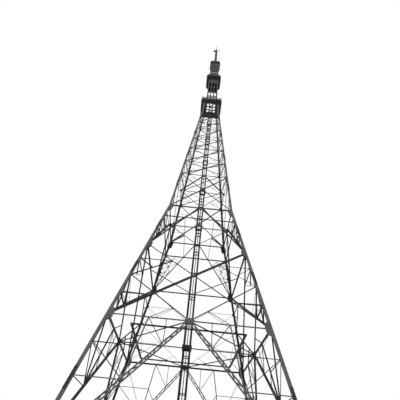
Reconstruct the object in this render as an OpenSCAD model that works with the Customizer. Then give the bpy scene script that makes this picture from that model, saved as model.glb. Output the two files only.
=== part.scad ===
/* [Tower] */
// Half of the tower's side at the ground, to the leg centre lines
base_half = 1820; // [1600:10:2000]
// Height of the bend in the legs
bend_z = 5430; // [5200:10:5700]
// Half of the tower's side at the bend
bend_half = 840; // [780:10:900]
// Height of the top of the legs, where the first gallery starts
top_z = 12880; // [12000:10:13600]
// Half of the tower's side at the top of the legs
top_half = 290; // [270:5:320]
// Width of a leg at the ground
base_leg_w = 48; // [40:1:70]
// Width of a leg at the bend
bend_leg_w = 52; // [44:1:64]
// Width of a leg at the top
top_leg_w = 38; // [30:1:44]

/* [Bracing] */
// Height of the horizontal bars over the lowest storey
portal_z = 2130; // [1900:10:2300]
// Height of the horizontal bars over the second storey
cross_z = 3890; // [3700:10:4100]
// Height of the extra horizontal bars in the third storey
mid_z = 4960; // [4800:10:5100]
// Share of the height above the bend that is under the first level
first_share = 0.203; // [0.15:0.001:0.25]
// Share of the height above the bend that is under the second level
second_share = 0.42; // [0.37:0.001:0.47]
// Share of the height above the bend that is under the third level
third_share = 0.631; // [0.58:0.001:0.68]
// Share of the height above the bend that is under the fourth level
fourth_share = 0.815; // [0.77:0.001:0.86]
// Share of a storey's height under the joint of its two crosses, above the first level
half_share = 0.47; // [0.4:0.01:0.6]
// Depth of the main bracing bars below the bend, across the side of the tower
brace_t = 24; // [16:1:32]
// Depth of the light bars in the front and rear below the bend
light_t = 10; // [8:1:16]
// Depth of the bracing bars above the bend
upper_t = 14; // [10:1:24]
// Width of the horizontal bars below the bend
level_w = 28; // [20:1:40]
// Width of the horizontal bars over the lowest storey
portal_level_w = 36; // [26:1:60]
// Width of the horizontal bars under the first gallery
top_level_w = 56; // [40:1:70]
// Width of the front's light horizontal bars
front_level_w = 12; // [8:1:28]
// Width of the heavy diagonal of the second storey
heavy_w = 44; // [30:1:60]
// Width of the light diagonals and long struts
light_w = 18; // [12:1:30]
// Width of the small struts between legs and diagonals
strut_w = 7; // [5:1:16]
// Overall width of a laced chevron bar
laced_w = 64; // [50:1:80]
// Width of the plain chevron bars in the rear's third storey
rear_chevron_w = 22; // [16:1:40]
// Width of the plain chevron bars in the front's third storey
front_chevron_w = 25; // [16:1:40]
// Distance between the two chevron bars where they meet the bend
chevron_gap = 100; // [60:5:130]
// Width of the two rails of a laced bar
rail_w = 18; // [10:1:22]
// Width of the lacing between the rails
lace_w = 9; // [6:1:14]
// Spacing of the lacing along a laced bar
lace_pitch = 120; // [80:5:200]
// Width of the heavy diagonal of the first storey above the bend
first_w = 34; // [24:1:44]
// Width of the light diagonal of the first storey above the bend
first_light_w = 20; // [12:1:28]
// Width of the heavy diagonals above the first level
upper_w = 14; // [10:1:24]
// Width of the light diagonals above the first level
upper_light_w = 5; // [4:1:12]
// Width of the horizontal bars above the bend
upper_level_w = 8; // [6:1:16]
// Share of a bar's width above the bend that shrinks with the tower
thin_share = 0.5; // [0.2:0.05:0.7]
// Width of the plate at the top of the lowest chevrons
apex_w = 160; // [120:5:240]
// Height of the plate at the top of the lowest chevrons
apex_h = 96; // [70:1:140]
// Width of the plate at the top of the chevrons below the bend
bend_apex_w = 160; // [140:5:220]
// Height of the plate at the top of the chevrons below the bend
bend_apex_h = 84; // [60:1:120]
// Width of the plates in the middle of the horizontal bars above the bend
upper_apex_w = 90; // [70:1:120]
// Height of the plates in the middle of the horizontal bars above the bend
upper_apex_h = 60; // [44:1:80]
// Width of the joint plates on the legs below the bend
plate_w = 190; // [140:5:240]
// Height of the joint plates on the legs below the bend
plate_h = 230; // [180:5:280]
// Width of the joint plates on the legs above the bend
upper_plate_w = 150; // [110:5:200]
// Height of the joint plates on the legs above the bend
upper_plate_h = 200; // [150:5:260]
// Width of the joint plates on the legs between two crosses
half_plate_w = 110; // [80:5:150]
// Height of the joint plates on the legs between two crosses
half_plate_h = 120; // [90:5:160]
// Clearance between the bracing below and above the bend
bend_gap = 2; // [1:0.5:4]

/* [Plan bracing] */
// Half side of the square ring over the lowest storey
ring_half = 1060; // [1000:10:1230]
// Width of the bars of that ring
ring_heavy_w = 42; // [30:1:60]
// Width of the plan bars that hold the shaft at the bend
ring_w = 24; // [16:1:36]
// Width of the plan bars at the front, at the bend and the level above it
front_ring_w = 35; // [24:1:44]
// Width of the light plan bars
rear_ring_w = 12; // [8:1:24]
// Width of the plan bars from the rear legs at the bend
corner_w = 50; // [40:1:76]
// Height of the plan bracing bars
ring_t = 18; // [12:1:24]
// Wall of the collars round the shaft
collar_wall = 16; // [10:1:24]
// Height of the collars round the shaft
collar_h = 70; // [40:1:100]

/* [Feet] */
// Side of a base plate
foot_side = 320; // [280:5:400]
// Thickness of a base plate
foot_t = 30; // [20:1:40]
// Spacing of the anchor holes
anchor_pitch = 230; // [200:5:260]
// Diameter of an anchor hole
anchor_d = 28; // [20:1:36]
// Height of the stiffening ribs
rib_h = 96; // [60:1:110]
// Reach of the stiffening ribs from the leg
rib_reach = 90; // [60:1:100]
// Thickness of the stiffening ribs
rib_t = 14; // [10:1:18]

/* [Shaft] */
// Outside width of the shaft
shaft_w = 172; // [150:1:200]
// Width of the corner bars of the shaft
chord_w = 38; // [28:1:44]
// Width of the rungs of the shaft
rung_w = 8; // [6:1:16]
// Spacing of the rungs
rung_pitch = 640; // [400:10:900]
// Width of the cable tray up the middle of the shaft's sides
tray_w = 18; // [10:1:26]
// Length at the top of the shaft that has no cable tray
tray_gap = 500; // [200:10:800]
// Side of the shaft's base plate
shaft_plate = 300; // [240:5:360]

/* [Galleries] */
// Half width of the first gallery
gallery1_half = 486; // [450:2:520]
// Half width of the second gallery
gallery2_half = 395; // [370:1:420]
// Half width of the third gallery
gallery3_half = 308; // [300:2:340]
// Cut of the gallery corners
corner_cut = 90; // [60:5:120]
// Thickness of a gallery floor
floor_t = 30; // [20:1:40]
// Width of the bars over the open middle of the first gallery
well_bar = 24; // [16:1:40]
// Half side of the hatch in the second gallery's floor
hatch_half = 52; // [40:1:100]
// Width of the drain slits in the first gallery's floor
slit_w = 10; // [6:1:14]
// Distance of the drain slits from the axis
slit_half = 345; // [335:5:360]
// Height of the gallery rails
rail_h = 110; // [90:1:130]
// Depth of the gallery rails
rail_t = 8; // [6:1:12]
// Width of the bars in the gallery rails
rail_bar = 10; // [8:1:14]
// Largest spacing of the posts in the gallery rails
post_pitch = 160; // [100:5:220]
// Gap between two neighbouring rails
rail_gap = 6; // [3:1:12]

// Height of the frames under the gallery floors
beam_h = 36; // [24:1:50]
// Width of the beams in those frames
beam_w = 16; // [10:1:24]
// Clearance between a frame and what passes through it
frame_gap = 2; // [1:0.5:4]

/* [Lattice mast] */
// Length of the section between the first and the second gallery
lower_l = 3080; // [2600:10:3600]
// Length of the section between the second and the third gallery
upper_l = 2410; // [2000:10:2800]
// Half width of the lower section of the lattice mast
mast_half = 255; // [235:5:265]
// Half width of the upper section of the lattice mast
upper_half = 245; // [225:1:247]
// Depth of the sides of the lattice mast
mast_t = 30; // [20:1:40]
// Width of the bars in the lower section of the lattice mast
mast_bar = 52; // [28:1:60]
// Width of the bars in the upper section of the lattice mast
upper_bar = 84; // [60:1:96]
// Height of the closed band at the top of the lower section
lower_band = 650; // [400:10:800]
// Height of the closed band at the top of the upper section
upper_band = 300; // [150:10:400]
// Number of fields over the height of one section
mast_rows = 5; // [3:1:8]
// Number of fields over the width of one side
mast_columns = 3; // [2:1:4]
// Width of the first gallery's floor under the mast's sides
mast_seat = 20; // [12:1:30]

/* [Pole] */
// Diameter of the pole
pole_d = 145; // [110:1:160]
// Length of the pole
pole_l = 3030; // [2500:10:3500]
// Diameter of the pole's foot flange
flange_d = 230; // [190:5:260]
// Thickness of the pole's foot flange
flange_t = 30; // [20:1:40]
// Diameter of the lightning rod
rod_d = 16; // [12:1:24]
// Length of the lightning rod above the pole
rod_l = 1110; // [900:10:1300]
// Reach of the arm at the top of the pole
arm_reach = 190; // [120:5:220]
// Thickness of the arm
arm_t = 90; // [60:1:110]
// Length of the whip on the third gallery
whip_l = 900; // [600:10:1200]
// Diameter of the whip
whip_d = 12; // [10:1:18]

/* [Fittings] */
// Diameter of the drum by the mast
drum_d = 150; // [120:5:180]
// Length of the drum
drum_l = 100; // [80:5:160]
// Length of the drum's bracket
bracket_l = 14; // [10:1:30]
// Reach of the forked arm by the mast
fork_reach = 120; // [100:5:200]
// Width of the forked arm's bars
fork_w = 14; // [10:1:20]
// Depth of the forked arm
fork_t = 12; // [8:1:20]
// Level bar of the upper mast that carries the drum and the forked arm
drum_row = 2; // [1:1:4]
// Radius of the bent rods at the first gallery's corners
outrigger_r = 240; // [200:5:280]
// Angle through which the rods are bent
outrigger_bend = 60; // [40:1:80]
// Diameter of the bent rods
outrigger_d = 16; // [14:1:20]

/* [Hidden] */

steel = [0.25, 0.26, 0.27];
dark_steel = [0.18, 0.19, 0.2];
pale = [0.72, 0.74, 0.76];

// Slopes of the tower's sides below and above the bend
low_k = (base_half - bend_half) / bend_z;
high_k = (bend_half - top_half) / (top_z - bend_z);
// Half side of the tower and width of a leg at a height
function half(z) = z <= bend_z ? base_half - low_k * z : bend_half - high_k * (z - bend_z);
function leg_w(z) = z <= bend_z
    ? base_leg_w + (bend_leg_w - base_leg_w) * z / bend_z
    : bend_leg_w + (top_leg_w - bend_leg_w) * (z - bend_z) / (top_z - bend_z);
// Distance of a leg's inner face from the tower's axis
function clear_half(z) = half(z) - leg_w(z) / 2;
// Length along a sloping side for a height
low_stretch = sqrt(1 + low_k * low_k);
high_stretch = sqrt(1 + high_k * high_k);
// Depth of the bracing at a height
function side_t(z) = z < bend_z ? brace_t : upper_t;
// Levels from the bend to the top of the legs
levels = [for (share = [0, first_share, second_share, third_share, fourth_share, 1])
    bend_z + share * (top_z - bend_z)];
first_z = levels[1];
// Bars get thinner as the tower gets narrower
function thin(w, z) = w * (1 - thin_share * (1 - half(z) / bend_half));
// Height of a fraction of the second storey
function cross_at(t) = portal_z + (cross_z - portal_z) * t;
// Distance of a chevron from the axis at a height
function chevron_x(z) =
    chevron_gap / 2 + (half(cross_z) - chevron_gap / 2) * (bend_z - z) / (bend_z - cross_z);
gallery2_z = top_z + floor_t + lower_l;
gallery3_z = gallery2_z + floor_t + upper_l;
pole_top_z = gallery3_z + floor_t + pole_l;
open_half = mast_half - mast_seat;
huge = 4 * base_half;

// Flat bar between two points
module bar(p, q, w) {
    d = q - p;
    translate(p)
        rotate(atan2(d[1], d[0]))
            translate([0, -w / 2])
                square([norm(d), w]);
}

// Flat bar made of two rails with zigzag lacing between them
module laced_bar(p, q, w) {
    d = q - p;
    l = norm(d);
    n = max(2, round(l / lace_pitch));
    translate(p)
        rotate(atan2(d[1], d[0])) {
            for (s = [-1, 1])
                translate([0, s * (w - rail_w) / 2 - rail_w / 2])
                    square([l, rail_w]);
            for (i = [0 : n - 1])
                let (s = i % 2 == 0 ? -1 : 1, y = (w - rail_w) / 2)
                    bar([i * l / n, s * y], [(i + 1) * l / n, -s * y], lace_w);
        }
}

// Space between the legs' inner faces, seen from the front, from one height to another
module between_legs(z0, z1) {
    rotate([90, 0, 0])
        linear_extrude(huge, center = true)
            polygon([[-clear_half(z0), z0], [clear_half(z0), z0], [clear_half(z1), z1],
                [-clear_half(z1), z1]]);
}

// Flat lattice in the front side below the bend, drawn with the height along the slope
module low_side(t) {
    intersection() {
        translate([0, -base_half, 0])
            rotate([90 - atan(low_k), 0, 0])
                linear_extrude(t, center = true)
                    children();
        between_legs(0, bend_z);
    }
}

// Flat lattice in the front side above the bend
module high_side() {
    intersection() {
        translate([0, -bend_half, bend_z])
            rotate([90 - atan(high_k), 0, 0])
                linear_extrude(upper_t, center = true)
                    children();
        between_legs(bend_z, top_z);
    }
}

// Keeps the part of a lattice between two heights along the slope
module storey(v0, v1) {
    intersection() {
        union()
            children();
        translate([-base_half, v0])
            square([2 * base_half, v1 - v0]);
    }
}

// Point on a leg's centre line, on the left or right of a side
function on_leg(z, s) = [s * half(z), z * low_stretch];
function on_high_leg(z, s) = [s * half(z), (z - bend_z) * high_stretch];
function level_v(z) = z * low_stretch;
function high_v(z) = (z - bend_z) * high_stretch;

// Plate at a joint of bars
module gusset(p, w, h) {
    translate(p)
        polygon([[-w / 2, -h / 4], [-w / 4, -h / 2], [w / 4, -h / 2], [w / 2, -h / 4], [w / 2, h / 4],
            [w / 4, h / 2], [-w / 4, h / 2], [-w / 2, h / 4]]);
}

// Lowest storey: laced chevron with a hanger and a strut to each leg
module portal(top_w) {
    foot_z = foot_t + rib_h;
    top = [0, level_v(portal_z)];
    color(steel)
        low_side(brace_t)
            storey(level_v(foot_z), level_v(portal_z) + portal_level_w / 2) {
                bar(on_leg(portal_z, -1), on_leg(portal_z, 1), top_w);
                gusset(top, apex_w, apex_h);
                for (s = [-1, 1])
                    let (m = (on_leg(foot_z, s) + top) / 2) {
                        gusset(on_leg(portal_z, s), plate_w, plate_h);
                        laced_bar(on_leg(foot_z, s), top, laced_w);
                        bar([s * half(m[1] / low_stretch), m[1]], m, strut_w);
                        bar([s * half(portal_z) / 2, level_v(portal_z)], m, light_w);
                        bar(on_leg(portal_z, s), m, strut_w);
                    }
            }
}

// Second storey: two crossed diagonals, struts to the legs and to the middle of the level below
module cross(lean, top_w, heavy, light, depth) {
    base = [0, level_v(portal_z)];
    v0 = level_v(portal_z) + portal_level_w / 2;
    v1 = level_v(cross_z) + top_w / 2;
    color(steel) {
        low_side(brace_t)
            storey(v0, v1) {
                if (top_w > 0)
                    bar(on_leg(cross_z, -1), on_leg(cross_z, 1), top_w);
                bar(on_leg(portal_z, -lean), on_leg(cross_z, lean), heavy);
                for (s = [-1, 1]) {
                    gusset(on_leg(cross_z, s), plate_w, plate_h);
                    gusset(on_leg(portal_z, s), plate_w, plate_h);
                }
            }
        low_side(depth)
            storey(v0, v1) {
                bar(on_leg(portal_z, lean), on_leg(cross_z, -lean), light);
                for (s = [-1, 1])
                    let (
                        high = on_leg(cross_z, s),
                        foot = on_leg(portal_z, s),
                        far_foot = on_leg(portal_z, -s),
                        far_high = on_leg(cross_z, -s),
                        p = high + (far_foot - high) / 4,
                        q = foot + (far_high - foot) / 4,
                        t = foot + (far_high - foot) / 8,
                        mid = on_leg(cross_at(0.5), s),
                        v = base + (mid - base) / 4
                    ) {
                        bar(mid, base, light);
                        bar(mid, p, strut_w);
                        bar(on_leg(cross_at(0.75), s), p, strut_w);
                        bar(on_leg(cross_at(0.75), s), (mid + p) / 2, strut_w);
                        bar(mid, t, strut_w);
                        bar(on_leg(cross_at(0.25), s), q, strut_w);
                        bar(on_leg(cross_at(0.25), s), t, strut_w);
                        bar(v, [s * half(portal_z) / 2, base[1]], strut_w);
                    }
            }
    }
}

// Third storey: chevron up to the bend, a level bar on the way and struts to the legs
module chevron(low_w, top_w, mid_w, chevron_w, laced, depth) {
    top = [0, level_v(bend_z) - level_w / 2];
    sub_z = (cross_z + mid_z) / 2;
    v0 = level_v(cross_z) + low_w / 2;
    function on_chevron(z, s) = [s * chevron_x(z), level_v(z)];
    color(steel) {
        low_side(brace_t)
            storey(v0, level_v(bend_z)) {
                bar(on_leg(bend_z, -1) - [0, level_w / 2], on_leg(bend_z, 1) - [0, level_w / 2], top_w);
                bar(on_leg(mid_z, -1), on_leg(mid_z, 1), mid_w);
                gusset(top, bend_apex_w, bend_apex_h);
                for (s = [-1, 1]) {
                    gusset(on_leg(cross_z, s), plate_w, plate_h);
                    gusset(on_leg(bend_z, s), plate_w, plate_h);
                    if (laced)
                        laced_bar(on_leg(cross_z, s), on_chevron(bend_z, s), chevron_w);
                    else
                        bar(on_leg(cross_z, s), on_chevron(bend_z, s), chevron_w);
                }
            }
        low_side(depth)
            storey(v0, level_v(bend_z))
                for (s = [-1, 1]) {
                    bar(on_leg(sub_z, s), on_chevron(sub_z, s), strut_w);
                    bar(on_leg(mid_z, s), on_chevron(sub_z, s), strut_w);
                }
    }
}

// Two crossed diagonals above the bend, from one height to another
module crossed(z0, z1, lean, heavy, light) {
    bar(on_high_leg(z0, -lean), on_high_leg(z1, lean), heavy);
    bar(on_high_leg(z0, lean), on_high_leg(z1, -lean), light);
}

// Joint plates on both legs above the bend
module leg_plates(z, w, h) {
    for (s = [-1, 1])
        gusset(on_high_leg(z, s), thin(w, z), thin(h, z));
}

// Storeys above the bend: one cross in the first, two crosses one above the other in each of the rest
module upper(lean) {
    last = len(levels) - 1;
    color(steel)
        high_side()
            storey(bend_gap, high_v(top_z)) {
                crossed(bend_z, first_z, lean, first_w, first_light_w);
                for (i = [1 : last])
                    let (z = levels[i], w = i == last ? top_level_w : upper_level_w) {
                        bar(on_high_leg(z, -1), on_high_leg(z, 1), w);
                        gusset([0, high_v(z)], thin(upper_apex_w, z), thin(upper_apex_h, z));
                        leg_plates(z, upper_plate_w, upper_plate_h);
                    }
                for (i = [2 : last])
                    let (
                        z0 = levels[i - 1],
                        z1 = levels[i],
                        mid = z0 + (z1 - z0) * half_share,
                        heavy = thin(upper_w, z1),
                        light = thin(upper_light_w, z1)
                    ) {
                        crossed(z0, mid, lean, heavy, light);
                        crossed(mid, z1, lean, heavy, light);
                        leg_plates(mid, half_plate_w, half_plate_h);
                    }
            }
}

module side(i) {
    rotate([0, 0, 90 * i])
        children();
}

// Straight leg between two heights, square in plan
module leg_piece(z0, z1) {
    corners = [[-1, -1], [1, -1], [1, 1], [-1, 1]];
    function ring(z) = [for (c = corners) [half(z) + c[0] * leg_w(z) / 2, half(z) + c[1] * leg_w(z) / 2, z]];
    polyhedron(concat(ring(z0), ring(z1)),
        [[0, 1, 2, 3], [7, 6, 5, 4], [0, 4, 5, 1], [1, 5, 6, 2], [2, 6, 7, 3], [3, 7, 4, 0]]);
}

module leg(sx, sy) {
    color(steel)
        mirror([sx < 0 ? 1 : 0, 0, 0])
            mirror([0, sy < 0 ? 1 : 0, 0]) {
                leg_piece(foot_t, bend_z);
                leg_piece(bend_z, top_z);
            }
}

// Stiffening rib that leans with the leg's outer or inner face
module rib(s) {
    x0 = half(foot_t) + s * leg_w(foot_t) / 2;
    x1 = half(foot_t + rib_h) + s * leg_w(foot_t + rib_h) / 2;
    translate([0, half(foot_t) + rib_t / 2, 0])
        rotate([90, 0, 0])
            linear_extrude(rib_t)
                polygon([[x0, foot_t], [x0 + s * rib_reach, foot_t], [x1 + s * rib_t, foot_t + rib_h],
                    [x1, foot_t + rib_h]]);
}

// Base plate with four anchor holes
module foot() {
    difference() {
        translate([half(foot_t) - foot_side / 2, half(foot_t) - foot_side / 2, 0])
            cube([foot_side, foot_side, foot_t]);
        for (sx = [-1, 1], sy = [-1, 1])
            translate([half(foot_t) + sx * anchor_pitch / 2, half(foot_t) + sy * anchor_pitch / 2, -1])
                cylinder(h = foot_t + 2, d = anchor_d, $fn = 48);
    }
}

// Repeats a piece at the four corners
module corners() {
    for (sx = [0, 1], sy = [0, 1])
        mirror([sx, 0, 0])
            mirror([0, sy, 0])
                children();
}

module feet() {
    color(dark_steel)
        corners()
            foot();
}

module foot_ribs() {
    color(dark_steel)
        corners()
            for (s = [-1, 1]) {
                rib(s);
                mirror([1, -1, 0])
                    rib(s);
            }
}

// Space inside the bracing of the four sides, from one height to another
module inside_sides(z0, z1) {
    lean = z0 < bend_z ? low_k : high_k;
    off = side_t(z0) / 2 * sqrt(1 + lean * lean);
    intersection_for (a = [0, 90])
        rotate([90, 0, a])
            linear_extrude(huge, center = true)
                polygon([[-(half(z0) - off), z0], [half(z0) - off, z0], [half(z1) - off, z1],
                    [-(half(z1) - off), z1]]);
}

// Square collar that fits round the shaft
module collar(z) {
    o = shaft_w + 2 * collar_wall;
    translate([0, 0, z - collar_h / 2])
        linear_extrude(collar_h)
            difference() {
                square(o, center = true);
                square(shaft_w, center = true);
            }
}

// Bars from the middles of the four sides to the collar
module ties(z, w) {
    o = shaft_w / 2 + collar_wall;
    for (a = [0 : 90 : 270])
        rotate(a)
            translate([o, -w / 2])
                square([half(z) - o, w]);
}

// Plan bars at a height, trimmed to the bracing of the sides
module level_bars(z) {
    intersection() {
        translate([0, 0, z - ring_t / 2])
            linear_extrude(ring_t)
                children();
        inside_sides(z - ring_t, z + ring_t);
    }
}

module ring(z) {
    collar(z);
    level_bars(z)
        children();
}

// Bars that join the middles of neighbouring sides
module diamond(z, front_w, rear_w) {
    for (s = [-1, 1]) {
        bar([s * half(z), 0], [0, -half(z)], front_w);
        bar([s * half(z), 0], [0, half(z)], rear_w);
    }
}

// Bars from the rear legs to the middles of the bars between the rear and its neighbouring sides
module corner_bars(z) {
    for (s = [-1, 1])
        bar([s * half(z), half(z)], [s * half(z) / 2, half(z) / 2], corner_w);
}

module ring_portal() {
    color(steel)
        ring(portal_z) {
            ties(portal_z, rear_ring_w);
            diamond(portal_z, rear_ring_w, rear_ring_w);
            difference() {
                square(2 * ring_half + ring_heavy_w, center = true);
                square(2 * ring_half - ring_heavy_w, center = true);
            }
        }
}

// Bars from the middles of the left and right sides to the middle of the rear
module ring_cross() {
    color(steel)
        level_bars(cross_z)
            for (s = [-1, 1])
                bar([s * half(cross_z), 0], [0, half(cross_z)], rear_ring_w);
}

// Bars between the points where the chevrons of the front and the rear meet the middle level
module ring_mid() {
    color(steel)
        level_bars(mid_z)
            for (s = [-1, 1])
                bar([s * chevron_x(mid_z), -half(mid_z)], [s * chevron_x(mid_z), half(mid_z)], rear_ring_w);
}

module ring_bend() {
    z = bend_z - level_w / 2;
    color(steel)
        difference() {
            ring(z) {
                ties(z, ring_w);
                diamond(z, front_ring_w, rear_ring_w);
                corner_bars(z);
            }
            for (sx = [0, 1])
                mirror([sx, 0, 0]) {
                    leg_piece(z - collar_h, bend_z);
                    leg_piece(bend_z, bend_z + collar_h);
                }
        }
}

module ring_first() {
    color(steel)
        ring(first_z) {
            ties(first_z, rear_ring_w);
            diamond(first_z, front_ring_w, rear_ring_w);
        }
}

module ring_upper() {
    color(steel)
        for (z = [for (i = [2 : len(levels) - 2]) levels[i]])
            ring(z)
                ties(z, rear_ring_w);
}

module shaft_base() {
    color(dark_steel)
        translate([-shaft_plate / 2, -shaft_plate / 2, 0])
            cube([shaft_plate, shaft_plate, foot_t]);
}

// One side of the shaft: two upright bars, rungs and a thin middle bar
module shaft_panel(w) {
    l = top_z - foot_t;
    n = floor(l / rung_pitch);
    for (s = [-1, 1])
        translate([s * (w - chord_w) / 2 - chord_w / 2, 0])
            square([chord_w, l]);
    for (i = [0 : n])
        translate([-w / 2, min(i * rung_pitch, l - rung_w)])
            square([w, rung_w]);
    translate([-tray_w / 2, 0])
        square([tray_w, l - tray_gap]);
}

module shaft_front_rear() {
    color(dark_steel)
        for (a = [0, 180])
            rotate([0, 0, a])
                translate([0, -shaft_w / 2 + chord_w / 2, foot_t])
                    rotate([90, 0, 0])
                        linear_extrude(chord_w, center = true)
                            shaft_panel(shaft_w);
}

// Zigzag lacing between the front and rear of the shaft
module shaft_sides() {
    l = top_z - foot_t;
    n = 2 * floor(l / rung_pitch / 2);
    w = shaft_w - 2 * chord_w;
    color(dark_steel)
        for (a = [90, 270])
            rotate([0, 0, a])
                translate([0, -shaft_w / 2 + chord_w / 2, foot_t])
                    rotate([90, 0, 0])
                        linear_extrude(rung_w, center = true)
                            intersection() {
                                union()
                                    for (i = [0 : n - 1])
                                        let (x = (i % 2 == 0 ? -1 : 1) * shaft_w / 2)
                                            bar([x, i * l / n], [-x, (i + 1) * l / n], rung_w);
                                translate([-w / 2, 0])
                                    square([w, l]);
                            }
}

// Outline of a gallery: a square with cut corners
module gallery_outline(h) {
    c = corner_cut;
    polygon([[-h + c, -h], [h - c, -h], [h, -h + c], [h, h - c], [h - c, h], [-h + c, h], [-h, h - c],
        [-h, -h + c]]);
}

module gallery_floor(z, h, open_half) {
    translate([0, 0, z])
        linear_extrude(floor_t)
            difference() {
                gallery_outline(h);
                square(2 * open_half, center = true);
                children();
            }
}

// Frame under a gallery floor: edge beams and four beams that pass just outside what carries the floor
module gallery_frame(z, h, carrier_half) {
    inner = carrier_half + frame_gap;
    color(dark_steel)
        translate([0, 0, z - beam_h])
            linear_extrude(beam_h) {
                difference() {
                    gallery_outline(h);
                    gallery_outline(h - beam_w);
                }
                intersection() {
                    gallery_outline(h);
                    for (a = [0 : 90 : 270])
                        rotate(a)
                            translate([inner, -h])
                                square([beam_w, 2 * h]);
                }
            }
}

// Bars over the open middle of a gallery, in line with the shaft's corners
module well_bars(z, open_half) {
    x = (shaft_w - well_bar) / 2;
    for (a = [0, 90], s = [-1, 1])
        rotate([0, 0, a])
            translate([-open_half, s * x - well_bar / 2, z])
                cube([2 * open_half, well_bar, floor_t]);
}

// One straight rail: posts, a top bar and a knee bar
module rail(l) {
    n = max(1, ceil(l / post_pitch));
    rotate([90, 0, 0])
        linear_extrude(rail_t) {
            for (y = [0, rail_h / 2 - rail_bar / 2, rail_h - rail_bar])
                translate([-l / 2, y])
                    square([l, rail_bar]);
            for (i = [0 : n])
                translate([-l / 2 + i * (l - rail_bar) / n, 0])
                    square([rail_bar, rail_h]);
        }
}

module gallery_rails(z, h) {
    straight = 2 * (h - corner_cut) - rail_gap - rail_t;
    cut = corner_cut * sqrt(2) - rail_gap - rail_t;
    for (a = [0 : 90 : 270])
        rotate([0, 0, a]) {
            translate([0, -h + rail_t, z + floor_t])
                rail(straight);
            rotate([0, 0, 45])
                translate([0, -(2 * h - corner_cut) / sqrt(2) + rail_t, z + floor_t])
                    rail(cut);
        }
}

module gallery1_frame() {
    z = top_z - beam_h;
    gallery_frame(top_z, gallery1_half, half(z) + leg_w(z) / 2);
}

module gallery2_frame() {
    gallery_frame(gallery2_z, gallery2_half, mast_half);
}

module gallery3_frame() {
    gallery_frame(gallery3_z, gallery3_half, upper_half);
}

module gallery1_floor() {
    color(dark_steel) {
        gallery_floor(top_z, gallery1_half, open_half)
            for (a = [0 : 90 : 270])
                rotate(a)
                    translate([slit_half, -top_half + top_leg_w])
                        square([slit_w, 2 * (top_half - top_leg_w)]);
        well_bars(top_z, open_half);
    }
}

module gallery2_floor() {
    color(dark_steel)
        gallery_floor(gallery2_z, gallery2_half, hatch_half);
}

module gallery3_floor() {
    color(dark_steel)
        translate([0, 0, gallery3_z])
            linear_extrude(floor_t)
                gallery_outline(gallery3_half);
}

module gallery1_rails() {
    color(steel)
        gallery_rails(top_z, gallery1_half);
}

module gallery2_rails() {
    color(steel)
        gallery_rails(gallery2_z, gallery2_half);
}

module gallery3_rails() {
    color(steel)
        gallery_rails(gallery3_z, gallery3_half);
}

// One side of the lattice mast: upright bars, level bars and a closed band at the top
module mast_panel(w, l, bar_w, band) {
    for (i = [0 : mast_columns])
        translate([-w / 2 + i * (w - bar_w) / mast_columns, 0])
            square([bar_w, l]);
    for (i = [0 : mast_rows])
        translate([-w / 2, i * (l - bar_w) / mast_rows])
            square([w, bar_w]);
    translate([-w / 2, l - band])
        square([w, band]);
}

module mast_pair(z, l, turn, h, w, bar_w, band) {
    for (a = [turn, turn + 180])
        rotate([0, 0, a])
            translate([0, -h + mast_t, z])
                rotate([90, 0, 0])
                    linear_extrude(mast_t)
                        mast_panel(w, l, bar_w, band);
}

// Height of the middle of a level bar in the upper mast
function mast_row_z(i) =
    gallery2_z + floor_t + upper_bar / 2 + i * (upper_l - upper_bar) / mast_rows;

module mast_lower_front_rear() {
    color(steel)
        mast_pair(top_z + floor_t, lower_l, 0, mast_half, 2 * mast_half, mast_bar, lower_band);
}

module mast_lower_sides() {
    color(steel)
        mast_pair(top_z + floor_t, lower_l, 90, mast_half, 2 * (mast_half - mast_t), mast_bar, lower_band);
}

module mast_upper_front_rear() {
    color(steel)
        mast_pair(gallery2_z + floor_t, upper_l, 0, upper_half, 2 * upper_half, upper_bar, upper_band);
}

module mast_upper_sides() {
    color(steel)
        mast_pair(gallery2_z + floor_t, upper_l, 90, upper_half, 2 * (upper_half - mast_t), upper_bar,
            upper_band);
}

module pole() {
    z = gallery3_z + floor_t;
    color(steel)
        translate([0, 0, z]) {
            cylinder(h = flange_t, d = flange_d, $fn = 64);
            cylinder(h = pole_l, d = pole_d, $fn = 48);
        }
}

module lightning_rod() {
    color(pale)
        translate([0, 0, pole_top_z])
            cylinder(h = rod_l, d = rod_d, $fn = 12);
}

module pole_arm() {
    color(dark_steel)
        translate([-arm_reach, -arm_t / 2, pole_top_z - 2 * arm_t])
            difference() {
                cube([arm_reach, arm_t, arm_t]);
                translate([arm_reach, arm_t / 2, -1])
                    cylinder(h = arm_t + 2, d = pole_d, $fn = 48);
            }
}

module whip() {
    color(steel)
        translate([gallery3_half - corner_cut, -gallery3_half + corner_cut, gallery3_z + floor_t])
            cylinder(h = whip_l, d = whip_d, $fn = 12);
}

// Bent rods that stand on the first gallery's corners and lean outwards
module outriggers() {
    p = gallery1_half - corner_cut;
    color(steel)
        for (a = [0 : 90 : 270])
            rotate([0, 0, a])
                translate([p, -p, top_z + floor_t])
                    rotate([0, 0, -45])
                        translate([outrigger_r, 0, 0])
                            rotate([90, 0, 180])
                                rotate_extrude(angle = outrigger_bend, $fn = 48)
                                    translate([outrigger_r, 0])
                                        circle(d = outrigger_d, $fn = 24);
}

// Drum on a short bracket at the right side of the mast
module drum() {
    color(pale)
        translate([upper_half, 0, mast_row_z(drum_row)]) {
            rotate([0, 90, 0])
                cylinder(h = bracket_l, d = upper_bar, $fn = 32);
            translate([bracket_l, 0, 0])
                rotate([0, 90, 0])
                    cylinder(h = drum_l, d = drum_d, $fn = 48);
        }
}

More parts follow.
